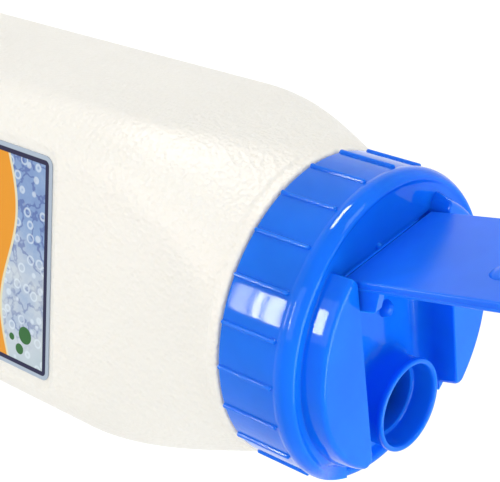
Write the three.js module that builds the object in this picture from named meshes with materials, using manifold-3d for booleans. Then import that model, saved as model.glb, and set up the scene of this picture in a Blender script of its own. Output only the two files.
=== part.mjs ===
// Plastic water bottle: blow-moulded bottle with a wide screw cap, a spout and a hinged flip flap.
// Millimetres, +Z up, origin at the centre of the base, label towards -Y.
import * as THREE from "three";
import * as BufferGeometryUtils from "three/addons/utils/BufferGeometryUtils.js";
import Module from "manifold-3d";

const wasm = await Module();
wasm.setup();

// bottle
const CAP_Z = 223; // height of the cap skirt's open end
const BODY_A = 46.3; // half depth, towards the label
const BODY_B = 51.3; // half width
const BODY_RC = 17.1; // corner radius in plan
const WALL = 1.6;
const BASE_R = 7; // rounding between base and walls
const SHOULDER_Z = CAP_Z - 56; // where the shoulder starts
const COLLAR_R = 46.5; // where the shoulder meets the cap
const COLLAR_OUT = 46.95; // low ridge under the cap
const NECK_R = 43.8;
const NECK_IN_R = 42;
const NECK_TOP = CAP_Z + 15.5;

// label panel
const PANEL_W = 39.4; // half width of the recess
const PANEL_TOP = CAP_Z - 66.4;
const PANEL_BOTTOM = 25.2;
const PANEL_DEPTH = 1.2;
const PANEL_R = 6;
const LABEL_W = 36.25;
const LABEL_TOP = CAP_Z - 69.2;
const LABEL_BOTTOM = 28;
const LABEL_R = 3;
const LABEL_T = 0.4;
const LABEL_GAP = 0.25;

// cap, heights above its skirt's open end
const CAP_TURN = 105.3; // degrees from the cap's own front to the bottle's
const SKIRT_R = 46.7;
const SKIRT_IN_R = 44.3;
const RIBS = 22;
const RIB_TOP = 19.2;
const RIB_W = 1.35;
const RIB_OUT = 47.5;
const FLANGE_R = 46.95; // widest ring of the rim, above the ribs
const RIM_R = 45; // crest of the rim
const RIM_Z = 25.3;
const DECK_Z = 24.6;
const UNDER_Z = 15.8;
const BLOCK_R = 40.2;
const BLOCK_TOP = 31.3;
const BLOCK_X = 21.3; // chord faces of the two blocks
const BLOCK_BACK = 33; // back end of the blocks
const BLOCK_FOOT_R = 41.4;
const BLOCK_FRONT_R = 2.2; // rounding of the blocks' front corners in plan
const BLOCK_BACK_R = 4;
const DIP_Z = 20.3; // the rim sinks to this height in front of the spout
const DIP_FROM = 30; // degrees from the cap's front where the rim starts to rise again
const DIP_TO = 56;
const FLOOR_Z = 18;
const FLOOR_W = 17.2; // half width of the channel's flat floor
const FILLET_Z = 23.5; // where the channel walls turn vertical
const SILL_R = 44.2;
const SILL_Z = 20.4;
const SPOUT_Y = -25.4;
const SPOUT_R = 14.35;
const LIP_Z = 29.5;
const BORE_R = 12.5;
const BORE_LOW_R = 11;

// flap, in its closed frame: u runs from the hinge axis to the tip, w is up
const HINGE_Y = 24.46;
const HINGE_Z = 27.9;
const FLAP_OPEN = 101.34; // degrees from closed to the open stop
const FLAP_W = 20.9;
const FLAP_TOP = 5; // outer face above the axis
const FLAP_T = 3.07;
const FLAP_LEN = 67.5;
const FLAP_TAIL = 2.1;
const SWING_R = 5.75; // clearance round the hinge axis
const EAR_T = 2.6;
const EAR_R = 4.3;
const PIN_R = 2.1;
const PIN_CLEAR = 0.3;
const PIN_OUT = 23;

function solidOf(geometry) {
  geometry.deleteAttribute("normal");
  geometry.deleteAttribute("uv");
  const merged = BufferGeometryUtils.mergeVertices(geometry, 1e-4);
  const mesh = new wasm.Mesh({
    numProp: 3,
    vertProperties: Float32Array.from(merged.attributes.position.array),
    triVerts: Uint32Array.from(merged.index.array),
  });
  return new wasm.Manifold(mesh);
}

function geometryOf(solid) {
  const mesh = solid.getMesh();
  const geometry = new THREE.BufferGeometry();
  geometry.setAttribute("position", new THREE.BufferAttribute(mesh.vertProperties, 3));
  geometry.setIndex(new THREE.BufferAttribute(mesh.triVerts, 1));
  return geometry;
}

// closed solid through a stack of rings, each a list of [x, y, z] with one count
function loft(rings) {
  const count = rings[0].length;
  const points = rings.flat();
  const index = [];
  for (let k = 0; k + 1 < rings.length; k += 1) {
    for (let i = 0; i < count; i += 1) {
      const j = (i + 1) % count;
      const a = k * count + i;
      const b = k * count + j;
      index.push(a, b, b + count, a, b + count, a + count);
    }
  }
  const low = points.length;
  points.push(middle(rings[0]));
  points.push(middle(rings[rings.length - 1]));
  const top = (rings.length - 1) * count;
  for (let i = 0; i < count; i += 1) {
    const j = (i + 1) % count;
    index.push(low, j, i);
    index.push(low + 1, top + i, top + j);
  }
  const geometry = new THREE.BufferGeometry();
  geometry.setAttribute("position", new THREE.Float32BufferAttribute(points.flat(), 3));
  geometry.setIndex(index);
  return solidOf(geometry);
}

function middle(ring) {
  const sum = [0, 0, 0];
  for (const point of ring) {
    sum[0] += point[0] / ring.length;
    sum[1] += point[1] / ring.length;
    sum[2] += point[2] / ring.length;
  }
  return sum;
}

// solid of revolution about Z from [radius, height] points that start and end on the axis
function turned(profile, segments = 96) {
  const points = profile.map((p) => new THREE.Vector2(p[0], p[1]));
  const geometry = new THREE.LatheGeometry(points, segments);
  geometry.rotateX(Math.PI / 2);
  return solidOf(geometry);
}

// prism from a plan outline, low to high along Z
function prism(outline, low, high) {
  const shape = new THREE.Shape(outline.map((p) => new THREE.Vector2(p[0], p[1])));
  const geometry = new THREE.ExtrudeGeometry(shape, { depth: high - low, bevelEnabled: false });
  geometry.translate(0, 0, low);
  return solidOf(geometry);
}

// prism along X from an outline in the YZ plane
function prismX(outline, x0, x1) {
  const shape = new THREE.Shape(outline.map((p) => new THREE.Vector2(p[0], p[1])));
  const geometry = new THREE.ExtrudeGeometry(shape, { depth: x1 - x0, bevelEnabled: false });
  geometry.applyMatrix4(new THREE.Matrix4().set(0, 0, 1, x0, 1, 0, 0, 0, 0, 1, 0, 0, 0, 0, 0, 1));
  return solidOf(geometry);
}

function rodX(radius, x0, x1, y, z, segments = 32) {
  const geometry = new THREE.CylinderGeometry(radius, radius, x1 - x0, segments);
  geometry.rotateZ(Math.PI / 2);
  geometry.translate((x0 + x1) / 2, y, z);
  return solidOf(geometry);
}

function rodZ(radius, z0, z1, x, y, segments = 64) {
  const geometry = new THREE.CylinderGeometry(radius, radius, z1 - z0, segments);
  geometry.rotateX(Math.PI / 2);
  geometry.translate(x, y, (z0 + z1) / 2);
  return solidOf(geometry);
}

function box(x0, x1, y0, y1, z0, z1) {
  const geometry = new THREE.BoxGeometry(x1 - x0, y1 - y0, z1 - z0);
  geometry.translate((x0 + x1) / 2, (y0 + y1) / 2, (z0 + z1) / 2);
  return solidOf(geometry);
}

// rounded rectangle in plan, with a crown of the given height on each side
function section(a, b, rc, z, crown, perCorner) {
  const ring = [];
  const side = 4;
  const cx = [b - rc, -(b - rc), -(b - rc), b - rc];
  const cy = [a - rc, a - rc, -(a - rc), -(a - rc)];
  for (let k = 0; k < 4; k += 1) {
    for (let i = 0; i <= perCorner; i += 1) {
      const t = (k + i / perCorner) * (Math.PI / 2);
      ring.push([cx[k] + rc * Math.cos(t), cy[k] + rc * Math.sin(t), z]);
    }
    const n = (k + 1) % 4;
    const t = (k + 1) * (Math.PI / 2);
    for (let i = 1; i < side; i += 1) {
      const s = i / side;
      const bulge = crown * 4 * s * (1 - s);
      const x = cx[k] + (cx[n] - cx[k]) * s + (rc + bulge) * Math.cos(t);
      const y = cy[k] + (cy[n] - cy[k]) * s + (rc + bulge) * Math.sin(t);
      ring.push([x, y, z]);
    }
  }
  return ring;
}

// half sizes and corner radius of the bottle at height z
function bodySize(z) {
  const up = Math.min(Math.max((z - SHOULDER_Z) / (CAP_Z - 0.3 - SHOULDER_Z), 0), 1);
  const fill = 1 - up * up;
  const rc = COLLAR_R + (BODY_RC - COLLAR_R) * Math.pow(fill, 1.05);
  return {
    a: (BODY_A - BODY_RC) * Math.pow(fill, 1.25) + rc,
    b: (BODY_B - BODY_RC) * Math.pow(fill, 1.07) + rc,
    rc,
    crown: 0.5 * Math.pow(fill, 2),
  };
}

function bodyRings(inset, low, perCorner, heights) {
  const rings = [];
  for (const t of [0, 30, 60, 90]) {
    const angle = (t * Math.PI) / 180;
    const r = BASE_R - inset;
    const shrink = inset + r * (1 - Math.sin(angle));
    const z = low + r * (1 - Math.cos(angle));
    rings.push(section(BODY_A - shrink, BODY_B - shrink, BODY_RC - shrink, z, 0.5, perCorner));
  }
  for (const z of heights) {
    const s = bodySize(z);
    rings.push(section(s.a - inset, s.b - inset, s.rc - inset, z, s.crown, perCorner));
  }
  return rings;
}

const SHOULDER_HEIGHTS = [0, 8, 15, 21, 27, 32, 37, 41, 45, 48, 50.5, 52.5, 54];

function roundedPanel(halfWidth, low, high, r, y0, y1) {
  const outline = [];
  const corners = [
    [halfWidth - r, high - r, 0],
    [-(halfWidth - r), high - r, 90],
    [-(halfWidth - r), low + r, 180],
    [halfWidth - r, low + r, 270],
  ];
  for (const [x, z, start] of corners) {
    for (let i = 0; i <= 5; i += 1) {
      const t = ((start + i * 18) * Math.PI) / 180;
      outline.push([x + r * Math.cos(t), z + r * Math.sin(t)]);
    }
  }
  const shape = new THREE.Shape(outline.map((p) => new THREE.Vector2(p[0], p[1])));
  const geometry = new THREE.ExtrudeGeometry(shape, { depth: y1 - y0, bevelEnabled: false });
  geometry.rotateX(Math.PI / 2);
  geometry.translate(0, y1, 0);
  return solidOf(geometry);
}

function neck(radius, low, high) {
  return turned([[0, low], [radius, low], [radius, high], [0, high]], 96);
}

// round band between the shoulder and the cap
function collar() {
  return turned([
    [0, CAP_Z - 7], [45.4, CAP_Z - 7], [46.9, CAP_Z - 5.6], [COLLAR_OUT, CAP_Z - 4.8],
    [COLLAR_OUT, CAP_Z - 1.5], [46.6, CAP_Z - 0.5], [0, CAP_Z - 0.5],
  ], 96);
}

function bottle() {
  const heights = SHOULDER_HEIGHTS.map((h) => SHOULDER_Z + h);
  let outer = loft(bodyRings(0, 0, 10, heights));
  outer = outer.add(neck(NECK_R, CAP_Z - 3, NECK_TOP)).add(collar());
  const insideHeights = [0, 15, 27, 37, 45, 50, 53].map((h) => SHOULDER_Z + h);
  let inner = loft(bodyRings(WALL, WALL + 0.6, 6, insideHeights));
  inner = inner.add(neck(NECK_IN_R, CAP_Z - 8, NECK_TOP + 5));
  const pocket = PANEL_DEPTH;
  const front = roundedPanel(PANEL_W, PANEL_BOTTOM, PANEL_TOP, PANEL_R, -70, -BODY_A + pocket);
  const back = roundedPanel(PANEL_W, PANEL_BOTTOM, PANEL_TOP, PANEL_R, BODY_A - pocket, 70);
  const keep = box(-60, 60, -BODY_A + pocket + WALL, BODY_A - pocket - WALL, 12, SHOULDER_Z + 8);
  const high = box(-60, 60, -60, 60, SHOULDER_Z + 8, NECK_TOP + 9);
  const lowEnd = box(-60, 60, -60, 60, -1, 12);
  inner = inner.intersect(keep.add(high).add(lowEnd));
  return outer.subtract(front).subtract(back).subtract(inner);
}

function label() {
  const face = -BODY_A + PANEL_DEPTH - LABEL_GAP;
  return roundedPanel(LABEL_W, LABEL_BOTTOM, LABEL_TOP, LABEL_R, face - LABEL_T, face);
}

function capShell() {
  const profile = [
    [0, 0], [SKIRT_R - 0.5, 0], [SKIRT_R, 0.5], [SKIRT_R, 19.6], [FLANGE_R, DIP_Z],
    [FLANGE_R - 0.05, 21.6], [FLANGE_R - 0.35, 22.9], [46.1, 24.1], [45.55, 24.9], [RIM_R, RIM_Z],
    [44.3, RIM_Z], [43.6, 24.9], [43, DECK_Z], [BLOCK_FOOT_R, DECK_Z], [0, DECK_Z],
  ];
  const under = neck(SKIRT_IN_R, -5, UNDER_Z);
  return turned(profile, 132).warp(dip).subtract(under);
}

// lowers a point of the rim in front of the spout, where the water is poured
function dip(point) {
  if (point[2] <= DIP_Z || Math.hypot(point[0], point[1]) < BLOCK_FOOT_R + 0.1) {
    return;
  }
  const turn = (Math.abs(Math.atan2(point[0], -point[1])) * 180) / Math.PI;
  const rise = Math.min(Math.max((turn - DIP_FROM) / (DIP_TO - DIP_FROM), 0.04), 1);
  point[2] = DIP_Z + (point[2] - DIP_Z) * rise * (2 - rise);
}

function ribs() {
  const depth = RIB_OUT - SKIRT_R + 1;
  const outline = [];
  for (const [x, z, start] of [[0, RIB_TOP - RIB_W / 2, 0], [0, 0.9, 180]]) {
    for (let i = 0; i <= 4; i += 1) {
      const t = ((start + i * 45) * Math.PI) / 180;
      outline.push([x + (RIB_W / 2) * Math.cos(t), z + (RIB_W / 2) * Math.sin(t)]);
    }
  }
  const all = [];
  for (let k = 0; k < RIBS; k += 1) {
    const shape = new THREE.Shape(outline.map((p) => new THREE.Vector2(p[0], p[1])));
    const geometry = new THREE.ExtrudeGeometry(shape, { depth, bevelEnabled: false });
    geometry.rotateX(Math.PI / 2);
    geometry.translate(0, -(RIB_OUT - depth), 0);
    geometry.rotateZ((k * 2 * Math.PI) / RIBS);
    all.push(solidOf(geometry));
  }
  return wasm.Manifold.union(all);
}

function arcPoints(cx, cy, r, from, to, steps) {
  const points = [];
  for (let i = 0; i <= steps; i += 1) {
    const t = ((from + ((to - from) * i) / steps) * Math.PI) / 180;
    points.push([cx + r * Math.cos(t), cy + r * Math.sin(t)]);
  }
  return points;
}

function blocks() {
  const round = turned([
    [0, DIP_Z - 1], [BLOCK_FOOT_R, DIP_Z - 1], [BLOCK_FOOT_R, DECK_Z], [BLOCK_R + 0.4, DECK_Z + 0.5],
    [BLOCK_R + 0.1, DECK_Z + 1.2], [BLOCK_R - 0.2, BLOCK_TOP - 1.4], [BLOCK_R - 0.6, BLOCK_TOP - 0.5],
    [BLOCK_R - 1.5, BLOCK_TOP], [0, BLOCK_TOP],
  ], 132);
  const far = 60;
  const r = BLOCK_BACK_R;
  const frontX = BLOCK_X + BLOCK_FRONT_R;
  const frontY = -Math.sqrt((BLOCK_R - BLOCK_FRONT_R) ** 2 - frontX ** 2);
  const turn = (Math.atan2(frontY, frontX) * 180) / Math.PI;
  const right = arcPoints(frontX, frontY, BLOCK_FRONT_R, 180, 360 + turn, 6);
  right.push([far, (far * frontY) / frontX], [far, BLOCK_BACK]);
  right.push(...arcPoints(BLOCK_X + r, BLOCK_BACK - r, r, 90, 180, 6));
  const left = right.map((p) => [-p[0], p[1]]).reverse();
  const plan = prism(right, DIP_Z - 2, BLOCK_TOP + 5).add(prism(left, DIP_Z - 2, BLOCK_TOP + 5));
  return round.intersect(plan);
}

function channel() {
  const outline = [[-BLOCK_X, 60], [-BLOCK_X, FILLET_Z]];
  for (let i = 1; i <= 5; i += 1) {
    const t = (i * Math.PI) / 10;
    const rx = BLOCK_X - FLOOR_W;
    const rz = FILLET_Z - FLOOR_Z;
    outline.push([-FLOOR_W - rx * Math.cos(t), FILLET_Z - rz * Math.sin(t)]);
  }
  const all = outline.concat(outline.map((p) => [-p[0], p[1]]).reverse());
  const shape = new THREE.Shape(all.map((p) => new THREE.Vector2(p[0], p[1])));
  const back = HINGE_Y + Math.sqrt(SWING_R ** 2 - (HINGE_Z - DECK_Z) ** 2);
  const geometry = new THREE.ExtrudeGeometry(shape, { depth: 60 + back, bevelEnabled: false });
  geometry.rotateX(Math.PI / 2);
  geometry.translate(0, back, 0);
  const cut = solidOf(geometry);
  const sill = turned([[0, 0], [60, 0], [60, SILL_Z], [SILL_R, SILL_Z], [SILL_R - 1.6, FLOOR_Z - 0.1], [0, FLOOR_Z - 0.1]], 132);
  const hub = turned([[0, 0], [SILL_R - 1.6, 0], [SILL_R - 1.6, FLOOR_Z - 0.1], [0, FLOOR_Z - 0.1]], 132);
  return cut.subtract(sill.subtract(hub));
}

function backWall() {
  // material behind the flap's foot, cleared for the swing of its rounded root
  const block = box(-BLOCK_X - 0.5, BLOCK_X + 0.5, HINGE_Y, HINGE_Y + 8, FLOOR_Z - 1, DECK_Z);
  const sweep = rodX(SWING_R, -BLOCK_X, BLOCK_X, HINGE_Y, HINGE_Z, 48);
  return block.subtract(sweep);
}

function spout() {
  const profile = [
    [0, FLOOR_Z - 1], [SPOUT_R + 2, FLOOR_Z - 1], [SPOUT_R + 1.8, FLOOR_Z], [SPOUT_R + 0.7, FLOOR_Z + 0.7],
    [SPOUT_R - 0.1, FLOOR_Z + 2], [SPOUT_R - 0.35, FLOOR_Z + 4], [SPOUT_R - 0.4, LIP_Z - 2.4],
    [SPOUT_R, LIP_Z - 1.7], [SPOUT_R + 0.05, LIP_Z - 0.7], [SPOUT_R - 0.35, LIP_Z - 0.15],
    [SPOUT_R - 0.8, LIP_Z], [0, LIP_Z],
  ];
  return turned(profile, 48).translate([0, SPOUT_Y, 0]);
}

function bore() {
  const profile = [
    [0, UNDER_Z - 2], [BORE_LOW_R, UNDER_Z - 2], [BORE_LOW_R, FLOOR_Z + 3.6], [BORE_R - 0.2, FLOOR_Z + 4],
    [BORE_R, LIP_Z - 0.9], [BORE_R + 0.5, LIP_Z - 0.2], [BORE_R + 0.7, LIP_Z + 2], [0, LIP_Z + 2],
  ];
  return turned(profile, 48).translate([0, SPOUT_Y, 0]);
}

// small boss on the channel's floor
function boss() {
  const solid = turned([[0, 17], [2.6, 17], [2.6, 18.6], [2.2, 19.8], [1.3, 20.6], [0, 20.8]], 16);
  return solid.translate([5.9, 1.6, 0]);
}

function cap() {
  let solid = capShell().add(ribs()).add(blocks());
  solid = solid.subtract(channel()).add(backWall().intersect(neck(SKIRT_IN_R, 0, 60)));
  solid = solid.add(spout()).add(boss()).subtract(bore());
  const socket = PIN_R + PIN_CLEAR;
  const left = rodX(socket, -PIN_OUT - 0.4, -BLOCK_X + 1, HINGE_Y, HINGE_Z, 24);
  const right = rodX(socket, BLOCK_X - 1, PIN_OUT + 0.4, HINGE_Y, HINGE_Z, 24);
  const pip = turned([[0, 24], [0.9, 24], [0.8, DECK_Z + 0.5], [0.4, DECK_Z + 0.8], [0, DECK_Z + 0.85]], 12);
  return solid.subtract(left).subtract(right).add(pip.translate([-0.8, 30.6, 0]));
}

function inPlace(solid) {
  return solid.rotate([0, 0, CAP_TURN]).translate([0, 0, CAP_Z]);
}

// flap plate in plan, closed: -Y is towards the tip, with the hinge axis at y = 0
function flapPlate() {
  const r = 12;
  const side = FLAP_W;
  const outline = [[-side, FLAP_TAIL], [-side, -FLAP_LEN + r]];
  const nose = arcPoints(-side + r, -FLAP_LEN + r, r, 180, 262, 7);
  outline.push(...nose);
  outline.push(...nose.map((p) => [-p[0], p[1]]).reverse());
  outline.push([side, FLAP_TAIL]);
  return prism(outline, FLAP_TOP - FLAP_T, FLAP_TOP);
}

function ear(x0, x1) {
  const foot = FLAP_TOP - FLAP_T + 0.6;
  const outline = [[-10.2, foot], [-6.6, -EAR_R], [0, -EAR_R]];
  outline.push(...arcPoints(0, 0, EAR_R, 270, 360, 6).slice(1));
  outline.push([Math.sqrt(EAR_R * EAR_R - foot * foot), foot]);
  outline.push([FLAP_TAIL, foot]);
  return prismX(outline, x0, x1);
}

function flap() {
  let solid = flapPlate();
  solid = solid.add(ear(-FLAP_W + 0.3, -FLAP_W + 0.3 + EAR_T)).add(ear(FLAP_W - 0.3 - EAR_T, FLAP_W - 0.3));
  solid = solid.add(rodX(PIN_R, -PIN_OUT, -FLAP_W + 1, 0, 0, 24)).add(rodX(PIN_R, FLAP_W - 1, PIN_OUT, 0, 0, 24));
  const plugY = SPOUT_Y - HINGE_Y;
  const plugLow = LIP_Z - HINGE_Z - 6;
  const under = FLAP_TOP - FLAP_T + 0.5;
  const ring = rodZ(BORE_R - 0.35, plugLow, under, 0, plugY, 48).subtract(rodZ(BORE_R - 1.9, plugLow - 1, under - 0.5, 0, plugY, 48));
  solid = solid.add(ring);
  const dome = new THREE.SphereGeometry(6, 24, 12);
  dome.translate(0, 0, -6 + 1.1);
  const bump = solidOf(dome).intersect(box(-8, 8, -8, 8, -1, 3));
  solid = solid.add(bump.translate([-6.8, -40.6, FLAP_TOP - 0.02]));
  return solid.rotate([-FLAP_OPEN, 0, 0]).translate([0, HINGE_Y, HINGE_Z]);
}

function meshOf(name, solid, color) {
  const material = new THREE.MeshStandardMaterial({ color, roughness: 0.4 });
  const mesh = new THREE.Mesh(geometryOf(solid), material);
  mesh.name = name;
  return mesh;
}

const group = new THREE.Group();
group.add(meshOf("bottle", bottle(), 0xf0eee6));
group.add(meshOf("label", label(), 0xc9d6dc));
group.add(meshOf("cap", inPlace(cap()), 0x1a5ae6));
group.add(meshOf("flap", inPlace(flap()), 0x2a66ea));

export default group;
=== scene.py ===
"""Looks for a milky plastic water bottle with a blue screw cap, a spout and a flip flap.

Metres, +Z up, origin at the centre of the base, label towards -Y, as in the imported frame.
"""

import math

import bmesh
import bpy
from mathutils import Matrix, Vector


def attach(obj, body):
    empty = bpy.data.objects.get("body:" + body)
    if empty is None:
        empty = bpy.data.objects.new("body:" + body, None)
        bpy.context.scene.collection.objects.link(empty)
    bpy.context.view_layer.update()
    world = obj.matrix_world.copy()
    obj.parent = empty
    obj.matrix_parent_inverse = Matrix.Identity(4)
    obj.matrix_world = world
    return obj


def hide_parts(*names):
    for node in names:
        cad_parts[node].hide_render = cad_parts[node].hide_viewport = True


bl_info = {
    "name": "Water Bottle Looks",
    "version": (1, 0, 0),
    "blender": (4, 5, 0),
    "location": "View3D > Sidebar > Bottle",
    "description": "Builds the plastic bottle, its label, cap and flap, and the studio round them",
    "category": "Object",
}

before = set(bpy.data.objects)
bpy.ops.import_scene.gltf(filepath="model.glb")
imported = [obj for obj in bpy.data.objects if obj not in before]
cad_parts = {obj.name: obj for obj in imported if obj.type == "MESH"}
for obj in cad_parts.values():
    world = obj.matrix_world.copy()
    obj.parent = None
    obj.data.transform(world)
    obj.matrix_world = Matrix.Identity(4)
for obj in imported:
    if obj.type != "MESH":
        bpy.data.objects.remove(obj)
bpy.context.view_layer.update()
BOTTLE_BODY = "bottle_body"
FLAP_BODY = "flip_flap"
MM = 0.001
MERGE_GAP, WELD_GAP = 0.00001, 0.00000002  # points nearer than this are one, in metres

# the bottle, in millimetres
CAP_Z = 223.0  # height of the cap's open end
CAP_TURN = math.radians(105.3)  # where the screwed-on cap has stopped
NECK_TOP = CAP_Z + 15.5
SHOULDER_TOP_R = 46.5  # the shoulder draws in to this radius under the cap
LABEL_BACK = -45.12  # the film's back, just off the floor of the front recess
PER_CORNER, PER_SIDE = 30, (34, 26)  # steps of a ring at each corner, and at the two kinds of side

# places on the cap, in its own frame
HINGE_Y, HINGE_Z = 24.46, 27.9
PIN_R, SOCKET_R, PIN_OUT = 2.1, 2.4, 23.0
SWING_R = 5.62  # room for the flap's foot as it turns
BACK_Y = 29.0  # the channel ends here, behind the flap's foot
SPOUT_Y = -25.4
UNDER_Z = 15.8  # underside of the deck
FLOOR_Z = 18.0  # floor of the channel
DECK_Z = 24.6
LIP_Z = 29.5
DIP_Z = 20.3  # the rim sinks to this height in front of the spout
DIP_INSIDE = 41.4  # points nearer the axis than this stay as they are
DIP_FROM, DIP_TO = 31.0, 62.0  # degrees from the front between which the rim rises again
BLOCK_BACK, BLOCK_FRONT_R, BLOCK_BACK_R = 33.0, 2.2, 4.2
RIB_LOW, RIB_HIGH = 0.15, 19.15
BOSS_AT = (5.9, 1.6)
PIP_AT = (-3.6, 30.2)

# places on the flap, from its hinge axis
BUMP_AT = (-6.8, -40.6)
PLUG_DEPTH = 6.0  # how far the plug ring reaches into the spout
EAR_R = 4.3

# the studio, in metres: each window's middle from side to side, low end, high end and glow
PANES = [(-0.041, 0.1055, 0.1150, 26.0), (-0.041, 0.1182, 0.1222, 70.0), (-0.041, 0.1254, 0.1345, 54.0),
         (-0.052, 0.2195, 0.2290, 58.0)]
PANE_Y, PANE_WIDTH, PANE_LEAN = -0.196, 0.058, 0.034  # they face a point this far to the right
PANE_TINT = (1.0, 0.74, 0.62)
SKY_GLOW = 0.71
FLOOR_HALF = 4000.0  # half the floor's side, in millimetres


def length(name, text, millimetres):
    """A size that a user can change, stored in metres."""
    return bpy.props.FloatProperty(
        name=name, description=text, default=millimetres * MM, min=0.0, unit="LENGTH", precision=5
    )


def colour(name, text, value):
    return bpy.props.FloatVectorProperty(
        name=name, description=text, default=value, size=3, min=0.0, max=1.0, subtype="COLOR"
    )


class BottleSettings(bpy.types.PropertyGroup):
    half_depth: length("Half depth", "Half the body, front to back", 46.3)
    half_width: length("Half width", "Half the body, side to side", 51.3)
    corner: length("Corner radius", "Rounding of the body's upright corners", 17.1)
    wall: length("Wall", "Thickness of the blown wall", 1.6)
    base_round: length("Base rounding", "Rounding between base and walls", 7.0)
    shoulder: length("Shoulder height", "Height where the shoulder starts", CAP_Z - 56.0)
    collar: length("Collar radius", "Radius of the band under the cap", 46.95)
    neck: length("Neck radius", "Outer radius of the neck in the cap", 43.8)
    panel_width: length("Panel half width", "Half width of the label recess", 39.4)
    panel_low: length("Panel bottom", "Lower end of the label recess", 25.2)
    panel_high: length("Panel top", "Upper end of the label recess", CAP_Z - 66.4)
    panel_depth: length("Panel depth", "Depth of the label recess", 1.2)
    grain: length("Grain size", "Width of one cell of the leather grain", 1.55)
    plastic: colour("Plastic", "Milky plastic", (0.778, 0.76, 0.705))


class LabelSettings(bpy.types.PropertyGroup):
    half_width: length("Half width", "Half the label's width", 36.25)
    low: length("Bottom", "Height of the label's lower end", 28.0)
    high: length("Top", "Height of the label's upper end", CAP_Z - 69.2)
    corner: length("Corner radius", "Rounding of the label's corners", 3.0)
    film: length("Film", "Thickness of the printed film", 0.3)
    margin: colour("Margin", "Pale blue-grey edge", (0.36, 0.43, 0.52))
    outline: colour("Outline", "Navy outline", (0.006, 0.006, 0.045))
    band: colour("Band", "Amber band", (0.70, 0.27, 0.006))
    dots: colour("Dots", "Green dots", (0.02, 0.12, 0.025))


class CapSettings(bpy.types.PropertyGroup):
    skirt: length("Skirt radius", "Skirt wall between the ribs", 46.7)
    inside: length("Skirt inside", "Inner radius of the skirt", 44.3)
    rib_out: length("Rib radius", "Radius at the crest of the ribs", 47.5)
    rib_width: length("Rib width", "Width of a grip rib", 1.35)
    deck: length("Deck", "Height of the deck above the skirt's open end", DECK_Z)
    block_radius: length("Block radius", "Outer radius of the two raised blocks", 40.2)
    block_top: length("Block top", "Height of the blocks above the skirt's open end", 31.3)
    channel: length("Channel half width", "Half the gap between the blocks", 21.3)
    spout: length("Spout radius", "Outer radius of the spout", 14.35)
    bore: length("Bore radius", "Inner radius of the spout", 12.5)
    lip: length("Lip", "Height of the spout's lip above the skirt's open end", LIP_Z)
    plastic: colour("Plastic", "Blue cap plastic", (0.004, 0.150, 0.80))
    ribs: bpy.props.IntProperty(name="Ribs", description="Number of grip ribs", default=22, min=3)


class FlapSettings(bpy.types.PropertyGroup):
    half_width: length("Half width", "Half the flap's width", 20.9)
    thickness: length("Thickness", "Thickness of the flap's plate", 3.07)
    reach: length("Reach", "Hinge axis to the flap's tip", 67.5)
    outer: length("Outer face", "Outer face above the hinge axis, when closed", 5.0)
    # painted light: the flap's blue is a lighter copy of the cap's plastic, standing in for more light on the
    # flap
    plastic: colour("Plastic", "Blue flap plastic", (0.008, 0.160, 0.87))
    opening: bpy.props.FloatProperty(
        name="Opening", description="Turn from closed to rest", default=math.radians(101.34),
        subtype="ANGLE"
    )


class StageSettings(bpy.types.PropertyGroup):
    floor: colour("Floor", "Plain pale floor", (0.86, 0.86, 0.86))
    focal: bpy.props.FloatProperty(
        name="Focal length", description="Camera lens, in millimetres", default=102.5, min=1.0,
        subtype="DISTANCE_CAMERA"
    )
    eye: bpy.props.FloatVectorProperty(
        name="Camera", description="Where the camera stands", default=(-0.1574, -0.3156, 0.4524),
        subtype="XYZ", unit="LENGTH"
    )
    aim: bpy.props.FloatVectorProperty(
        name="Aim", description="What the camera looks at", default=(-0.00934, 0.00432, 0.18961),
        subtype="XYZ", unit="LENGTH"
    )
    roll: bpy.props.FloatProperty(
        name="Roll", description="Turn of the camera about its line of sight",
        default=math.radians(109.51), subtype="ANGLE"
    )


# shader expressions


class Socket:
    """A shader socket that can stand in Python expressions."""

    def __init__(self, tree, link):
        self.tree = tree
        self.link = link

    def __add__(self, other):
        return self.tree.math("ADD", self, other)

    def __radd__(self, other):
        return self.tree.math("ADD", other, self)

    def __sub__(self, other):
        return self.tree.math("SUBTRACT", self, other)

    def __rsub__(self, other):
        return self.tree.math("SUBTRACT", other, self)

    def __mul__(self, other):
        return self.tree.math("MULTIPLY", self, other)

    def __rmul__(self, other):
        return self.tree.math("MULTIPLY", other, self)

    def __abs__(self):
        return self.tree.math("ABSOLUTE", self)


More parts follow.
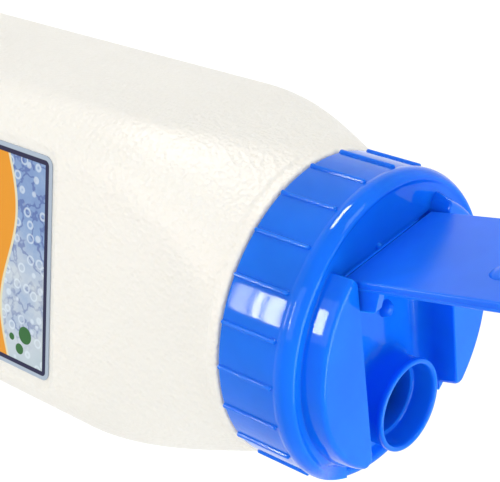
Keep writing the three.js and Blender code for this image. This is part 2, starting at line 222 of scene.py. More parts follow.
class Shader:
    """A material's node tree, filled by expressions."""

    def __init__(self, name):
        self.material = bpy.data.materials.new(name)
        self.material.use_nodes = True
        self.nodes = self.material.node_tree.nodes
        self.links = self.material.node_tree.links
        self.nodes.clear()

    def node(self, kind, settings=None, inputs=None, output=0):
        """Adds any node: its settings first, then the values or links of its sockets."""
        made = self.nodes.new(kind)
        for key, value in (settings or {}).items():
            if key == "stops":
                self.set_stops(made.color_ramp, value)
            else:
                setattr(made, key, value)
        for key, value in (inputs or {}).items():
            socket = made.inputs[key]
            if isinstance(value, Socket):
                self.links.new(value.link, socket)
            elif value is not None:
                socket.default_value = value
        return Socket(self, made.outputs[output]) if made.outputs else None

    @staticmethod
    def set_stops(ramp, stops):
        while len(ramp.elements) < len(stops):
            ramp.elements.new(0.5)
        for element, (place, value) in zip(ramp.elements, stops):
            element.position = place
            element.color = (*value, 1.0)

    def math(self, operation, *values):
        return self.node("ShaderNodeMath", {"operation": operation}, dict(enumerate(values)))

    def smooth(self, value, low, high):
        """0 below low, 1 above high, and smooth between them."""
        settings = {"interpolation_type": "SMOOTHSTEP"}
        inputs = {"Value": value, "From Min": low, "From Max": high, "To Min": 0.0, "To Max": 1.0}
        return self.node("ShaderNodeMapRange", settings, inputs)

    def mix(self, factor, a, b):
        settings = {"data_type": "RGBA"}
        inputs = {0: factor, 6: self.rgba(a), 7: self.rgba(b)}
        return self.node("ShaderNodeMix", settings, inputs, output=2)

    @staticmethod
    def rgba(value):
        return value if isinstance(value, Socket) else (*value, 1.0)

    def place(self):
        return self.node("ShaderNodeTexCoord", output="Object")

    def split(self, vector):
        parts = self.node("ShaderNodeSeparateXYZ", {}, {0: vector}).link.node.outputs
        return [Socket(self, part) for part in parts]

    def noise(self, scale, detail=2.0, roughness=0.5):
        inputs = {"Vector": self.place(), "Scale": scale, "Detail": detail, "Roughness": roughness}
        return self.node("ShaderNodeTexNoise", {}, inputs)

    def noise_colour(self, scale):
        inputs = {"Vector": self.place(), "Scale": scale, "Detail": 2.0}
        return self.node("ShaderNodeTexNoise", {}, inputs, output=1)

    def finish(self, base, roughness, normal=None, **constants):
        """Principled surface; the words in constants are plain numbers on its sockets."""
        inputs = {"Base Color": self.rgba(base), "Roughness": roughness}
        if normal is not None:
            inputs["Normal"] = normal
        for key, value in constants.items():
            inputs[key.replace("_", " ").title().replace("Ior", "IOR")] = value
        surface = self.node("ShaderNodeBsdfPrincipled", {}, inputs)
        self.node("ShaderNodeOutputMaterial", {}, {"Surface": surface})
        return self.material


def milky_plastic(settings):
    """Blow-moulded milky plastic with a fine leather grain all over."""
    s = Shader("milky_plastic")
    place = s.place()
    cells = 1.0 / settings.grain
    warp = s.noise(cells * 0.35, detail=3.0)
    shift = s.node("ShaderNodeVectorMath", {"operation": "SCALE"},
                   {0: s.noise_colour(cells * 0.6), "Scale": 0.0012})
    warped = s.node("ShaderNodeVectorMath", {"operation": "ADD"}, {0: place, 1: shift})
    grain = s.node("ShaderNodeTexVoronoi", {"feature": "SMOOTH_F1"},
                   {"Vector": warped, "Scale": cells, "Smoothness": 0.6, "Randomness": 1.0})
    fine = s.noise(cells * 2.2, detail=2.0)
    height = grain * 0.7 + fine * 0.3 + warp * 0.25
    bump = s.node("ShaderNodeBump", {}, {"Strength": 0.5, "Distance": 0.0010, "Height": height})
    tint = s.noise(9.0, detail=3.0, roughness=0.6)
    warm = s.mix(s.smooth(tint, 0.35, 0.7), settings.plastic, [c * 0.975 for c in settings.plastic])
    worn = 0.44 + s.noise(60.0) * 0.08
    return s.finish(warm, worn, bump, subsurface_weight=0.4, subsurface_scale=0.0025,
                    subsurface_radius=(1.0, 0.9, 0.75), ior=1.5, specular_ior_level=0.38)


def blue_plastic(name, tone, rough):
    """Injection-moulded plastic with faint flow marks; rough is 0 for a mirror gloss."""
    s = Shader(name)
    flow = s.noise(28.0, detail=3.0, roughness=0.55)
    deep = [c * 0.82 for c in tone]
    base = s.mix(s.smooth(flow, 0.3, 0.75), tone, deep)
    worn = rough + s.noise(140.0, detail=4.0) * 0.03
    ripple = s.noise(60.0, detail=1.0)
    bump = s.node("ShaderNodeBump", {}, {"Strength": 0.03, "Distance": 0.0005, "Height": ripple})
    return s.finish(base, worn, bump, ior=1.5, specular_ior_level=0.28,
                    specular_tint=(0.5, 0.78, 1.0, 1.0), subsurface_weight=0.5,
                    subsurface_scale=0.007, subsurface_radius=(0.1, 0.5, 1.0))


def label_print(settings):
    """A generic print: a navy outline, a mottled blue field with rings, an amber wave and green dots."""
    s = Shader("label_film")
    place = s.place()
    x, _, z = s.split(place)
    centre = (settings.low + settings.high) / 2
    half_h = (settings.high - settings.low) / 2
    corner = settings.corner
    out_x = s.math("MAXIMUM", abs(x) - (settings.half_width - corner), 0.0)
    out_z = s.math("MAXIMUM", abs(z - centre) - (half_h - corner), 0.0)
    edge = corner - s.math("SQRT", out_x * out_x + out_z * out_z)
    edge = s.math("MINIMUM", edge, s.math("MINIMUM", settings.half_width - abs(x), half_h - abs(z - centre)))
    line = s.smooth(edge, 0.0013, 0.0015) - s.smooth(edge, 0.0028, 0.0030)
    depth = settings.high - z
    swirl = s.noise(55.0, detail=5.0, roughness=0.62)
    drift = x * 7.0 + 0.5 + (swirl - 0.5) * 0.9
    field = s.node("ShaderNodeValToRGB", {"stops": [
        (0.0, (0.10, 0.17, 0.40)), (0.35, (0.21, 0.32, 0.53)),
        (0.62, (0.50, 0.56, 0.61)), (1.0, (0.38, 0.48, 0.53)),
    ]}, {"Fac": drift})
    cells = s.node("ShaderNodeTexVoronoi", {"feature": "F1"},
                   {"Vector": place, "Scale": 210.0, "Randomness": 0.9})
    ring = s.smooth(cells, 0.2, 0.26) - s.smooth(cells, 0.31, 0.38)
    ripple = 1.0 - s.smooth(abs(s.noise(150.0, detail=3.0) - 0.5), 0.012, 0.045)
    rippled = s.mix(ripple * (1.0 - s.smooth(drift, 0.4, 0.75)) * 0.6, field, (0.04, 0.07, 0.28))
    ringed = s.mix(ring * 0.55, rippled, (0.66, 0.74, 0.80))
    wave = abs(depth - 0.0245 - s.math("SINE", x * 95.0) * 0.0035)
    edged = s.mix(1.0 - s.smooth(wave, 0.0058, 0.0061), ringed, (0.66, 0.62, 0.42))
    banded = s.mix(1.0 - s.smooth(wave, 0.0048, 0.0051), edged, settings.band)
    dots = banded
    spots = [(0.024, 0.0110, 0.0030), (0.0293, 0.0135, 0.0019), (0.0262, 0.0172, 0.0013)]
    for at_x, at_depth, radius in spots:
        dx, dz = x - at_x, depth - at_depth
        far = s.math("SQRT", dx * dx + dz * dz)
        dots = s.mix(1.0 - s.smooth(far, radius - 0.0002, radius), dots, settings.dots)
    printed = s.mix(s.smooth(edge, 0.0026, 0.0028), settings.margin, dots)
    framed = s.mix(line, printed, settings.outline)
    bump = s.node("ShaderNodeBump", {}, {"Strength": 0.03, "Distance": 0.0003, "Height": s.noise(300.0)})
    return s.finish(framed, 0.3 + s.noise(80.0) * 0.1, bump, ior=1.5, specular_ior_level=0.25)


# meshes, in millimetres until they are stored


def add_object(name, mesh, material, smooth_angle=35.0):
    for face in mesh.polygons:
        face.use_smooth = True
    mesh.set_sharp_from_angle(angle=math.radians(smooth_angle))
    piece = bpy.data.objects.new(name, mesh)
    bpy.context.scene.collection.objects.link(piece)
    mesh.materials.clear()
    mesh.materials.append(material)
    return piece


def mesh_of(name, points, faces):
    """A mesh in metres from points in millimetres."""
    mesh = bpy.data.meshes.new(name)
    mesh.from_pydata([[c * MM for c in p] for p in points], [], faces)
    mesh.update()
    return mesh


def arc(cx, cy, radius, start, end, steps):
    turn = [math.radians(start + (end - start) * i / steps) for i in range(steps + 1)]
    return [(cx + radius * math.cos(t), cy + radius * math.sin(t)) for t in turn]


def stack(rings, capped=True):
    """Points and faces of a skin through rings of one length, with its two ends filled or open."""
    count = len(rings[0])
    points = [p for ring in rings for p in ring]
    faces = []
    for k in range(len(rings) - 1):
        for i in range(count):
            j = (i + 1) % count
            a, b = k * count + i, k * count + j
            faces.append((a, b, b + count, a + count))
    if capped:
        faces.append(tuple(reversed(range(count))))
        last = (len(rings) - 1) * count
        faces.append(tuple(range(last, last + count)))
    return points, faces


def turned(profile, segments=176):
    """Points and faces of a profile turned about Z; the points on the axis are merged by clean."""
    rings = []
    for radius, z in profile:
        ring = []
        for i in range(segments):
            t = 2 * math.pi * i / segments
            ring.append((radius * math.cos(t), radius * math.sin(t), z))
        rings.append(ring)
    points, faces = stack(rings, capped=False)
    if profile[0][0] > 0 and profile[-1][0] > 0:
        last = (len(rings) - 1) * segments
        for i in range(segments):
            j = (i + 1) % segments
            faces.append((last + i, last + j, j, i))
    return points, faces


def weld(mesh):
    """Joins points that lie on each other, so that no face without area is left."""
    work = bmesh.new()
    work.from_mesh(mesh)
    bmesh.ops.remove_doubles(work, verts=work.verts, dist=WELD_GAP)
    work.to_mesh(mesh)
    work.free()


def clean(mesh):
    """Merges near points, drops faces without area and turns every face outwards."""
    work = bmesh.new()
    work.from_mesh(mesh)
    bmesh.ops.remove_doubles(work, verts=work.verts, dist=MERGE_GAP)
    bmesh.ops.dissolve_degenerate(work, dist=MERGE_GAP, edges=work.edges)
    bmesh.ops.recalc_face_normals(work, faces=work.faces)
    work.to_mesh(mesh)
    work.free()
    return mesh


def body_size(settings, z):
    """Half depth, half width, corner radius and crown of the bottle at height z, in millimetres."""
    start = settings.shoulder / MM
    up = min(max((z - start) / (CAP_Z - 0.3 - start), 0.0), 1.0)
    fill = 1 - up * up
    low_r = settings.corner / MM
    corner = SHOULDER_TOP_R + (low_r - SHOULDER_TOP_R) * fill**1.05
    a = (settings.half_depth / MM - low_r) * fill**1.25 + corner
    b = (settings.half_width / MM - low_r) * fill**1.07 + corner
    return a, b, corner, 0.5 * fill**2


def section(a, b, corner, crown, z):
    """One ring of the bottle: a rounded rectangle with slightly crowned sides."""
    ring = []
    cx = [b - corner, corner - b, corner - b, b - corner]
    cy = [a - corner, a - corner, corner - a, corner - a]
    for k in range(4):
        for i in range(PER_CORNER + 1):
            t = (k + i / PER_CORNER) * math.pi / 2
            ring.append((cx[k] + corner * math.cos(t), cy[k] + corner * math.sin(t), z))
        n = (k + 1) % 4
        t = (k + 1) * math.pi / 2
        steps = PER_SIDE[k % 2]
        for i in range(1, steps):
            s = i / steps
            out = corner + crown * 4 * s * (1 - s)
            ring.append((cx[k] + (cx[n] - cx[k]) * s + out * math.cos(t),
                         cy[k] + (cy[n] - cy[k]) * s + out * math.sin(t), z))
    return ring


def smoothstep(value, low, high):
    t = min(max((value - low) / (high - low), 0.0), 1.0)
    return t * t * (3 - 2 * t)


def recess(settings, point):
    """Presses the two label panels into a point of the bottle's wall."""
    x, y, z = point
    half_w = settings.panel_width / MM
    low, high = settings.panel_low / MM, settings.panel_high / MM
    radius = 6.0
    dx = abs(x) - (half_w - radius)
    dz = abs(z - (low + high) / 2) - ((high - low) / 2 - radius)
    outside = math.hypot(max(dx, 0), max(dz, 0)) + min(max(dx, dz), 0) - radius
    share = 1 - smoothstep(outside, -0.7, 0.7)
    floor = (settings.half_depth - settings.panel_depth) / MM
    if abs(y) <= floor or share <= 0:
        return point
    return x, y + (math.copysign(floor, y) - y) * share, z


def bottle_heights(settings):
    """Heights of the bottle's rings, close together at the ends of the panels."""
    low, high = settings.panel_low / MM, settings.panel_high / MM
    start = settings.shoulder / MM
    heights = [settings.base_round / MM, 12, 17, 21]
    heights += [low + i * 0.4 for i in range(-6, 7)]
    heights += [low + 6 + i * (high - low - 12) / 14 for i in range(15)]
    heights += [high + i * 0.4 for i in range(-8, 7)]
    heights += [high + 5, start]
    top = CAP_Z - 5.6
    heights += [start + (top - start) * i / 40 for i in range(1, 41)]
    return sorted(heights)


def bottle_rings(settings):
    """Rings of the bottle's outside, from its base to the band under the cap."""
    depth, width = settings.half_depth / MM, settings.half_width / MM
    corner, round_r = settings.corner / MM, settings.base_round / MM
    rings = []
    for i in range(9):
        t = math.radians(10 * i)
        shrink = round_r * (1 - math.sin(t))
        z = round_r * (1 - math.cos(t))
        rings.append(section(depth - shrink, width - shrink, corner - shrink, 0.5, z))
    for z in bottle_heights(settings):
        a, b, r, crown = body_size(settings, z)
        ring = section(a, b, r, crown, z)
        rings.append([recess(settings, p) for p in ring])
    return rings


def around(ring, radius, z, share=1.0):
    """The ring's points moved all or part of the way to a circle, each kept at its own bearing."""
    made = []
    for x, y, _ in ring:
        r = math.hypot(x, y)
        scale = (r + (radius - r) * share) / r
        made.append((x * scale, y * scale, z))
    return made


def bottle_mesh(settings):
    """The bottle's outside, its neck and its inside, as one skin."""
    rings = bottle_rings(settings)
    last = rings[-1]
    collar, neck = settings.collar / MM, settings.neck / MM
    for share, z in [(0.12, CAP_Z - 5.2), (0.35, CAP_Z - 4.8), (0.65, CAP_Z - 4.4), (0.88, CAP_Z - 4.0)]:
        rings.append(around(last, collar, z, share))
    band = [(collar, CAP_Z - 3.5), (collar, CAP_Z - 1.6), (collar - 0.2, CAP_Z - 1.0),
            (collar - 0.7, CAP_Z - 0.6), (neck + 0.5, CAP_Z - 0.5), (neck, CAP_Z - 0.2), (neck, NECK_TOP)]
    for radius, z in band:
        rings.append(around(last, radius, z))
    wall = settings.wall / MM
    rings.append(around(last, neck - 1.8, NECK_TOP))
    rings.append(around(last, neck - 1.8, CAP_Z - 3))
    inner = []
    for z in [CAP_Z - 12, CAP_Z - 25, CAP_Z - 40, CAP_Z - 56, 120, 70, 20]:
        a, b, r, _ = body_size(settings, z)
        a = a - 1.3 if z < CAP_Z - 50 else a  # keeps the wall whole behind the recesses
        inner.append(section(a - wall, b - wall, r - wall, 0, z))
    depth, width, corner = settings.half_depth / MM, settings.half_width / MM, settings.corner / MM
    inner.append(section(depth - 5.5, width - 5.5, corner - 5, 0, 4.0))
    inner.append(section(depth - 10, width - 10, corner - 8, 0, 2.4))
    points, faces = stack(rings + inner)
    return mesh_of("bottle_shell", points, faces)


def label_mesh(settings):
    """A rounded sheet with softened edges, lying on the recess floor."""
    w, low, high = settings.half_width / MM, settings.low / MM, settings.high / MM
    r = settings.corner / MM
    film = settings.film / MM
    corners = [(w - r, low + r, -90), (w - r, high - r, 0), (r - w, high - r, 90), (r - w, low + r, 180)]
    rings = []
    for inset, share in [(0, 0.0), (0, 0.6), (0.08, 0.9), (0.25, 1.0)]:
        ring = []
        y = LABEL_BACK - film * share
        for cx, cz, start in corners:
            ring += [(x, y, z) for x, z in arc(cx, cz, r - inset, start, start + 90, 8)]
        rings.append(ring)
    points, faces = stack(rings)
    return clean(mesh_of("label_sheet", points, faces))


def boolean(target, tool_mesh, operation):
    """Applies one boolean step to the object target and removes the tool."""
    tool = bpy.data.objects.new("tool", tool_mesh)
    bpy.context.scene.collection.objects.link(tool)
    step = target.modifiers.new("step", "BOOLEAN")
    step.operation = operation
    step.solver = "MANIFOLD"
    step.object = tool
    apply_modifiers(target)
    bpy.data.objects.remove(tool)
    bpy.data.meshes.remove(tool_mesh)


def apply_modifiers(piece):
    graph = bpy.context.evaluated_depsgraph_get()
    graph.update()
    made = bpy.data.meshes.new_from_object(piece.evaluated_get(graph))
    old = piece.data
    piece.modifiers.clear()
    piece.data = made
    bpy.data.meshes.remove(old)
    if not made.polygons:
        raise RuntimeError(piece.name + " lost its faces in a boolean step")


def solid(name, shape):
    return clean(mesh_of(name, *shape))


def cap_place():
    """From the cap's own frame, its front at -Y and 0 at the skirt's open end, to the bottle's."""
    return Matrix.Translation((0, 0, CAP_Z * MM)) @ Matrix.Rotation(CAP_TURN, 4, "Z")


def skirt_profile(settings):
    """The cap's shell in section: skirt, rim, and the deck inside the rim."""
    skirt, inside, deck = settings.skirt / MM, settings.inside / MM, settings.deck / MM
    profile = [(0, UNDER_Z), (inside - 0.6, UNDER_Z), (inside, UNDER_Z - 0.6), (inside, 0.4)]
    profile += [(inside + 0.4, 0.0), (skirt - 0.7, 0.0), (skirt - 0.2, 0.2), (skirt, 0.7)]
    profile += [(skirt, 19.3), (skirt + 0.05, 19.8), (46.95, 20.2), (47.0, 20.9), (46.95, 21.7)]
    profile += [(46.8, 22.5), (46.45, 23.3), (46.05, 24.0), (45.6, 24.6), (45.2, 25.0), (44.85, 25.2)]
    profile += [(44.5, 25.28), (44.15, 25.2), (43.8, 25.0), (43.5, 24.8), (43.1, 24.65)]
    profile += [(42.6, deck), (41.3, deck), (0, deck)]
    return profile


def dipped(shape):
    """Lowers the rim in front of the spout, where the water is poured."""
    points, faces = shape
    moved = []
    for x, y, z in points:
        if z > DIP_Z and math.hypot(x, y) > DIP_INSIDE:
            turn = abs(math.degrees(math.atan2(x, -y)))
            z = DIP_Z + (z - DIP_Z) * (0.04 + 0.96 * smoothstep(turn, DIP_FROM, DIP_TO))
        moved.append((x, y, z))
    return moved, faces


def block_outline(outer, chord, back, front_r, back_r):
    """Plan of the raised block on the right: a round wall and a chord face with rounded ends."""
    front_x, back_x, back_y = chord + front_r, chord + back_r, back - back_r
    front_y = -math.sqrt((outer - front_r) ** 2 - front_x**2)
    turn = math.degrees(math.atan2(front_y, front_x))
    reach = math.hypot(back_x, back_y)
    meet = (outer**2 - reach**2 - back_r**2) / (2 * back_r * reach)
    start = math.degrees(math.atan2(back_y, back_x) + math.acos(meet))
    outline = arc(front_x, front_y, front_r, 180, 360 + turn, 10)
    back_arc = arc(back_x, back_y, back_r, start, 180, 14)
    side_turn = math.degrees(math.atan2(back_arc[0][1], back_arc[0][0]))
    outline += arc(0, 0, outer, turn, side_turn, 70)[1:-1]
    return outline + back_arc


def block_shape(settings, side):
    """A raised block: its round wall leans inwards and its top edge is rounded."""
    top, deck = settings.block_top / MM, settings.deck / MM
    outer, chord = settings.block_radius / MM, settings.channel / MM
    levels = [(19.4, -1.2, 0.0), (deck - 0.1, -1.2, 0.0), (deck + 0.12, -1.02, 0.0),
              (deck + 0.5, -0.9, 0.0), (deck + 1.6, -0.66, 0.0), (deck + 2.8, -0.42, 0.0),
              (deck + 4.0, -0.16, 0.0), (top - 1.3, 0.16, 0.0), (top - 0.8, 0.42, 0.02),
              (top - 0.4, 0.74, 0.1), (top - 0.12, 1.15, 0.24), (top, 1.7, 0.45)]
    rings = []
    for z, inset, pull in levels:
        outline = block_outline(outer - inset, chord + pull, BLOCK_BACK - pull, BLOCK_FRONT_R - pull,
                                BLOCK_BACK_R - pull)
        rings.append([(side * x, y, z) for x, y in outline])
    if side < 0:
        rings = [list(reversed(ring)) for ring in rings]
    return stack(rings)


def channel_shape(settings):
    """Cutter for the channel between the blocks: flat floor, rounded sides, open to the front."""
    half = settings.channel / MM + 0.02
    floor_w, turn_z, top = 17.2, 23.5, 45.0
    outline = [(-half, top)]
    for i in range(13):
        t = math.radians(180 + 90 * i / 12)
        outline.append((-floor_w + (half - floor_w) * math.cos(t), turn_z + (turn_z - FLOOR_Z) * math.sin(t)))
    outline += [(-x, z) for x, z in reversed(outline)]
    rings = []
    for y in (BACK_Y, -60.0):
        rings.append([(x, y, z) for x, z in outline])
    return stack(rings)


def back_wall_shape():
    """Rounded wall behind the flap's foot, clear of its swing."""
    outline = [(BACK_Y + 0.5, 16.0), (BACK_Y + 0.5, 24.55)]
    turn = math.degrees(math.atan2(24.58 - HINGE_Z, BACK_Y - HINGE_Y))
    outline += arc(HINGE_Y, HINGE_Z, SWING_R, turn, -90, 12)
    outline += [(HINGE_Y, 16.0)]
    return stack([[(x, y, z) for y, z in outline] for x in (-21.6, 21.6)])


def sill_profile():
    """Low front wall that the channel leaves standing."""
    return [(42.2, 17.0), (42.6, 17.9), (43.2, 18.5), (43.9, 19.4), (44.4, 20.0), (45.1, 20.35), (46.0, 20.3),
            (46.6, 19.9), (46.68, 19.2), (46.68, 17.0)]


def spout_profile(settings):
    """The spout's wall in section: foot, outside, lip and the step inside."""
    r, bore, lip = settings.spout / MM, settings.bore / MM, settings.lip / MM
    foot = [(bore - 1.5, UNDER_Z), (r + 2.0, UNDER_Z), (r + 2.0, FLOOR_Z - 0.1), (r + 1.3, FLOOR_Z + 0.15),
            (r + 0.6, FLOOR_Z + 0.7), (r + 0.05, FLOOR_Z + 1.6), (r - 0.25, FLOOR_Z + 3.0)]
    outside = [(r - 0.4, FLOOR_Z + 5.0), (r - 0.45, lip - 2.6), (r - 0.3, lip - 2.2),
               (r - 0.05, lip - 1.9), (r + 0.05, lip - 1.5), (r + 0.08, lip - 0.9)]
    rim = [(r - 0.02, lip - 0.45), (r - 0.25, lip - 0.15), (r - 0.6, lip), (r - 1.0, lip - 0.02),
           (bore + 0.45, lip - 0.25), (bore + 0.15, lip - 0.8), (bore, lip - 1.8)]
    inside = [(bore - 0.15, FLOOR_Z + 4.6), (bore - 0.3, FLOOR_Z + 4.1), (bore - 0.7, FLOOR_Z + 3.85),
              (bore - 1.2, FLOOR_Z + 3.75), (bore - 1.45, FLOOR_Z + 3.4)]
    return foot + outside + rim + inside


def rod(radius, x0, x1, y, z):
    """A round rod along X."""
    segments = 32
    rings = []
    for x in (x0, x1):
        ring = []
        for i in range(segments):
            t = 2 * math.pi * i / segments
            ring.append((x, y + radius * math.cos(t), z + radius * math.sin(t)))
        rings.append(ring)
    return stack(rings)


def shifted(shape, dx, dy):
    points, faces = shape
    return [(x + dx, y + dy, z) for x, y, z in points], faces


def rib_shape(settings, turn):
    """A grip rib with rounded crest and ends, at a bearing."""
    skirt, out = settings.skirt / MM, settings.rib_out / MM
    half = settings.rib_width / MM / 2
    crest = [(-0.5, -0.28), (0.0, -0.12), (0.2, 0.0), (0.45, 0.06), (0.65, 0.2), (out - skirt, 0.42)]
    rings = []
    for depth, inset in crest:
        ring = []
        r = half - inset
        for cz, start in [(RIB_HIGH - half, 0), (RIB_LOW + half, 180)]:
            for i in range(7):
                t = math.radians(start + 30 * i)
                ring.append((r * math.cos(t), -(skirt + depth), cz + r * math.sin(t)))
        rings.append(ring)
    points, faces = stack(rings)
    c, s = math.cos(turn), math.sin(turn)
    return [(x * c - y * s, x * s + y * c, z) for x, y, z in points], faces


def cap_object(settings, material):
    """The cap's one moulding, put together in its own frame and then moved onto the bottle."""
    body = add_object("cap_moulding", solid("cap_body", dipped(turned(skirt_profile(settings)))), material)
    for side in (1, -1):
        boolean(body, solid("block", block_shape(settings, side)), "UNION")
    boolean(body, solid("channel", channel_shape(settings)), "DIFFERENCE")
    boolean(body, solid("back_wall", back_wall_shape()), "UNION")
    boolean(body, solid("sill", turned(sill_profile())), "UNION")
    hole = settings.bore / MM - 0.5
    bore = [(0, 10), (hole, 10), (hole, 40), (0, 40)]
    boolean(body, solid("bore", shifted(turned(bore, 64), 0, SPOUT_Y)), "DIFFERENCE")
    boolean(body, solid("spout", shifted(turned(spout_profile(settings), 96), 0, SPOUT_Y)), "UNION")
    for side in (1, -1):
        socket = rod(SOCKET_R, side * 20.5, side * (PIN_OUT + 0.4), HINGE_Y, HINGE_Z)
        boolean(body, solid("socket", socket), "DIFFERENCE")
    boss = [(0, 17), (2.9, 17), (2.7, 18.1), (2.4, 19.0), (1.9, 19.9), (1.2, 20.5), (0, 20.8)]
    boolean(body, solid("boss", shifted(turned(boss, 32), *BOSS_AT)), "UNION")
    pip = [(0, 24), (0.9, 24), (0.88, 24.8), (0.75, 25.2), (0.45, 25.5), (0, 25.6)]
    boolean(body, solid("pip", shifted(turned(pip, 24), *PIP_AT)), "UNION")
    for k in range(settings.ribs):
        boolean(body, solid("rib", rib_shape(settings, 2 * math.pi * k / settings.ribs)), "UNION")
    round_edges(body, 0.35)
    body.data.transform(cap_place())
    return body


def round_edges(piece, width):
    """Rounds the crisp edges that the cuts left, and keeps the flats flat."""
    step = piece.modifiers.new("rounding", "BEVEL")
    step.width = width * MM
    step.segments = 2
    step.limit_method = "ANGLE"
    step.angle_limit = math.radians(42)
    step.use_clamp_overlap = True
    step.miter_outer = "MITER_ARC"
    apply_modifiers(piece)
    weld(piece.data)
    for face in piece.data.polygons:
        face.use_smooth = True
    piece.data.set_sharp_from_angle(angle=math.radians(38))
    shading = piece.modifiers.new("shading", "WEIGHTED_NORMAL")
    shading.keep_sharp = True
    shading.weight = 80
    apply_modifiers(piece)


def plate_outline(settings):
    """Plan of the flap's plate, closed, as points with outward normals."""
    half, reach = settings.half_width / MM, settings.reach / MM
    tail, big, small = 2.1, 12.0, 0.6
    corners = [(half - small, tail - small, small, 0, 90), (-half + small, tail - small, small, 90, 180),
               (-half + big, -reach + big, big, 180, 262), (half - big, -reach + big, big, 278, 360)]
    outline = []
    for cx, cy, r, start, end in corners:
        for x, y in arc(cx, cy, r, start, end, 14 if r > 1 else 4):
            outline.append((x, y, (x - cx) / r, (y - cy) / r))
    return outline


def offset_outline(outline, inset):
    """The outline's points moved inwards along their outward normals."""
    return [(x - nx * inset, y - ny * inset) for x, y, nx, ny in outline]


def plate_shape(settings):
    """The plate, with rounded edges and a fine step along its side."""
    high = settings.outer / MM
    low = high - settings.thickness / MM
    outline = plate_outline(settings)
    levels = [(low, 0.5), (low + 0.12, 0.22), (low + 0.4, 0.05), (low + 0.7, 0.0), (low + 1.05, 0.0),
              (low + 1.15, 0.18), (low + 1.3, 0.2), (high - 0.75, 0.2), (high - 0.45, 0.27),
              (high - 0.15, 0.5), (high, 0.85)]
    rings = []
    for z, inset in levels:
        rings.append([(x, y, z) for x, y in offset_outline(outline, inset)])
    return stack(rings)


def ear_shape(x0, x1, foot):
    """A hinge ear on the flap's inner face, seen from the side."""
    outline = [(-10.2, foot), (-9.5, foot - 1.6), (-7.2, -3.7), (-6.5, -4.15), (-5.7, -EAR_R)]
    outline += arc(0, 0, EAR_R, 270, 386, 14)
    outline += [(2.1, foot)]
    rings = []
    for x in (x0, x1):
        rings.append([(x, y, z) for y, z in outline])
    return stack(rings)


def flap_object(settings, material):
    """The flap's one moulding, made closed about its hinge axis and then turned open."""
    high = settings.outer / MM
    low = high - settings.thickness / MM
    half = settings.half_width / MM - 0.3
    piece = add_object("flap_moulding", solid("flap_body", plate_shape(settings)), material)
    for side in (1, -1):
        ends = sorted((side * half, side * (half - 2.6)))
        boolean(piece, solid("ear", ear_shape(ends[0], ends[1], low + 0.5)), "UNION")
        ends = sorted((side * (half - 1), side * PIN_OUT))
        boolean(piece, solid("pin", rod(PIN_R, ends[0], ends[1], 0, 0)), "UNION")
    plug_r, plug_low = 12.15, LIP_Z - HINGE_Z - PLUG_DEPTH
    plug = [(plug_r - 1.6, low + 0.4), (plug_r - 1.6, plug_low + 0.3), (plug_r - 1.3, plug_low),
            (plug_r - 0.6, plug_low), (plug_r - 0.1, plug_low + 0.5), (plug_r, plug_low + 1.2),
            (plug_r, low + 0.4)]
    boolean(piece, solid("plug", shifted(turned(plug, 72), 0, SPOUT_Y - HINGE_Y)), "UNION")
    bump = [(0, high - 0.5), (4.2, high - 0.5), (4.0, high + 0.02), (3.6, high + 0.35),
            (2.9, high + 0.7), (2.0, high + 0.95), (1.0, high + 1.07), (0, high + 1.1)]
    boolean(piece, solid("bump", shifted(turned(bump, 48), *BUMP_AT)), "UNION")
    round_edges(piece, 0.3)
    hinge = Matrix.Translation((0, HINGE_Y * MM, HINGE_Z * MM))
    piece.data.transform(cap_place() @ hinge @ Matrix.Rotation(-settings.opening, 4, "X"))
    return piece


# operators


class BOTTLE_OT_shell(bpy.types.Operator):
    """Builds the blown bottle with its recessed panels, shoulder, collar and neck"""

    bl_idname = "bottle.shell"
    bl_label = "Bottle"

    def execute(self, context):
        settings = context.scene.bottle_shell
        piece = add_object("bottle_skin", bottle_mesh(settings), milky_plastic(settings), 50.0)
        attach(piece, BOTTLE_BODY)
        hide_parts("bottle")
        return {"FINISHED"}


class BOTTLE_OT_label(bpy.types.Operator):
    """Lays the printed film in the front recess"""

    bl_idname = "bottle.label"
    bl_label = "Label"

    def execute(self, context):
        settings = context.scene.bottle_label
        piece = add_object("label_film", label_mesh(settings), label_print(settings))
        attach(piece, BOTTLE_BODY)
        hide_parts("label")
        return {"FINISHED"}


class BOTTLE_OT_cap(bpy.types.Operator):
    """Moulds the screw cap with its ribs, raised blocks, channel and spout"""

    bl_idname = "bottle.cap"
    bl_label = "Cap"

    def execute(self, context):
        settings = context.scene.bottle_cap
        piece = cap_object(settings, blue_plastic("cap_plastic", settings.plastic, 0.05))
        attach(piece, BOTTLE_BODY)
        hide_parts("cap")
        return {"FINISHED"}


class BOTTLE_OT_flap(bpy.types.Operator):
    """Moulds the hinged flap with its ears, pins and plug ring"""

    bl_idname = "bottle.flap"
    bl_label = "Flap"

    def execute(self, context):
        settings = context.scene.bottle_flap
        # painted light: the flap's lighter blue from its settings stands in for more light on the flap
        piece = flap_object(settings, blue_plastic("flap_plastic", settings.plastic, 0.24))
        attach(piece, FLAP_BODY)
        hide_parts("flap")
        return {"FINISHED"}


def card(name, at, towards, size, energy, tint=(1.0, 1.0, 1.0)):
    """A rectangular studio light at a point, facing another."""
    light = bpy.data.lights.new(name, "AREA")
    light.shape = "RECTANGLE"
    light.size, light.size_y = size
    light.energy = energy
    light.color = tint
    lamp = bpy.data.objects.new(name, light)
    lamp.location = at
    lamp.rotation_mode = "QUATERNION"
    lamp.rotation_quaternion = (Vector(towards) - Vector(at)).to_track_quat("-Z", "Y")
    lamp.visible_camera = False
    bpy.context.scene.collection.objects.link(lamp)
    return lamp


def gloss_card(name, at, towards, size, glow, tint):
    """A small bright window that shows in glossy reflections alone, with an even glow."""
    lamp = card(name, at, towards, size, glow * math.pi * size[0] * size[1], tint)
    lamp.visible_diffuse = False


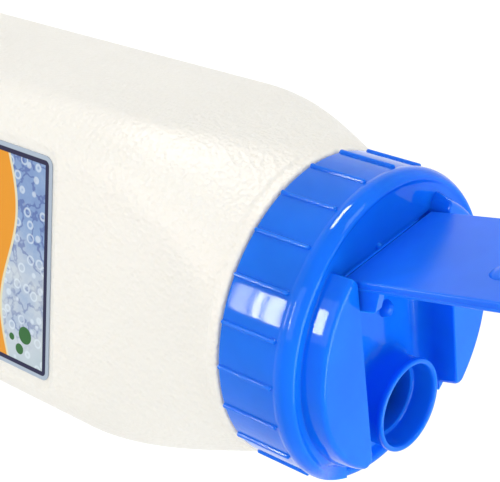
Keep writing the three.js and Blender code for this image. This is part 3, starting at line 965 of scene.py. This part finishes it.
class BOTTLE_OT_stage(bpy.types.Operator):
    """Lays the floor, hangs the studio lights and sets the camera"""

    bl_idname = "bottle.stage"
    bl_label = "Stage"

    def execute(self, context):
        settings = context.scene.bottle_stage
        paper = Shader("floor_paper").finish(settings.floor, 0.9)
        corners = [(FLOOR_HALF * x, FLOOR_HALF * y, 0) for x, y in [(-1, -1), (1, -1), (1, 1), (-1, 1)]]
        ground = add_object("floor", mesh_of("floor", corners, [(0, 1, 2, 3)]), paper)
        context.scene.view_settings.view_transform = "Standard"
        world = bpy.data.worlds.new("studio")
        world.use_nodes = True
        back = world.node_tree.nodes["Background"]
        back.inputs["Color"].default_value = (1.0, 1.0, 1.0, 1.0)
        back.inputs["Strength"].default_value = SKY_GLOW
        context.scene.world = world
        for number, (x, low, high, glow) in enumerate(PANES):
            z = (low + high) / 2
            gloss_card("pane_%d" % number, (x, PANE_Y, z), (x + PANE_LEAN, 0.0, z),
                       (PANE_WIDTH, high - low), glow, PANE_TINT)
        gloss_card("rim_streak", (-0.47, -0.06, 0.10), (-0.037, -0.027, 0.245), (0.16, 0.12), 46.0,
                   (1.0, 0.85, 0.75))
        middle = (0.0, 0.0, 0.2)
        card("front", (-0.25, -0.95, 0.35), middle, (0.6, 0.6), 2.6)
        card("side", (-0.75, 0.05, 0.75), middle, (0.3, 0.3), 1.2)
        card("top", (0.15, 0.1, 1.3), middle, (0.9, 0.9), 12.0)
        lens = bpy.data.cameras.new("camera")
        lens.lens = settings.focal
        eye = bpy.data.objects.new("camera", lens)
        bpy.context.scene.collection.objects.link(eye)
        look = (Vector(settings.aim) - Vector(settings.eye)).normalized()
        level = look.to_track_quat("-Z", "Y").to_matrix().to_4x4()
        roll = Matrix.Rotation(settings.roll, 4, "Z")
        eye.matrix_world = Matrix.Translation(Vector(settings.eye)) @ level @ roll
        lens.clip_start = 0.01
        context.scene.camera = eye
        return {"FINISHED"}


class BOTTLE_PT_pieces(bpy.types.Panel):
    """Lists the pieces of the bottle"""

    bl_label = "Water bottle"
    bl_space_type = "VIEW_3D"
    bl_region_type = "UI"
    bl_category = "Bottle"

    def draw(self, context):
        for operator in OPERATORS:
            self.layout.operator(operator.bl_idname)


OPERATORS = (BOTTLE_OT_shell, BOTTLE_OT_label, BOTTLE_OT_cap, BOTTLE_OT_flap, BOTTLE_OT_stage)
GROUPS = {
    "bottle_shell": BottleSettings,
    "bottle_label": LabelSettings,
    "bottle_cap": CapSettings,
    "bottle_flap": FlapSettings,
    "bottle_stage": StageSettings,
}


def register():
    for group in GROUPS.values():
        bpy.utils.register_class(group)
    for operator in OPERATORS:
        bpy.utils.register_class(operator)
    bpy.utils.register_class(BOTTLE_PT_pieces)
    for name, group in GROUPS.items():
        setattr(bpy.types.Scene, name, bpy.props.PointerProperty(type=group))


def unregister():
    for name in GROUPS:
        delattr(bpy.types.Scene, name)
    bpy.utils.unregister_class(BOTTLE_PT_pieces)
    for operator in reversed(OPERATORS):
        bpy.utils.unregister_class(operator)
    for group in GROUPS.values():
        bpy.utils.unregister_class(group)


def main():
    register()
    bpy.ops.bottle.shell()
    bpy.ops.bottle.label()
    bpy.ops.bottle.cap()
    bpy.ops.bottle.flap()
    bpy.ops.bottle.stage()


if __name__ == "__main__":
    main()
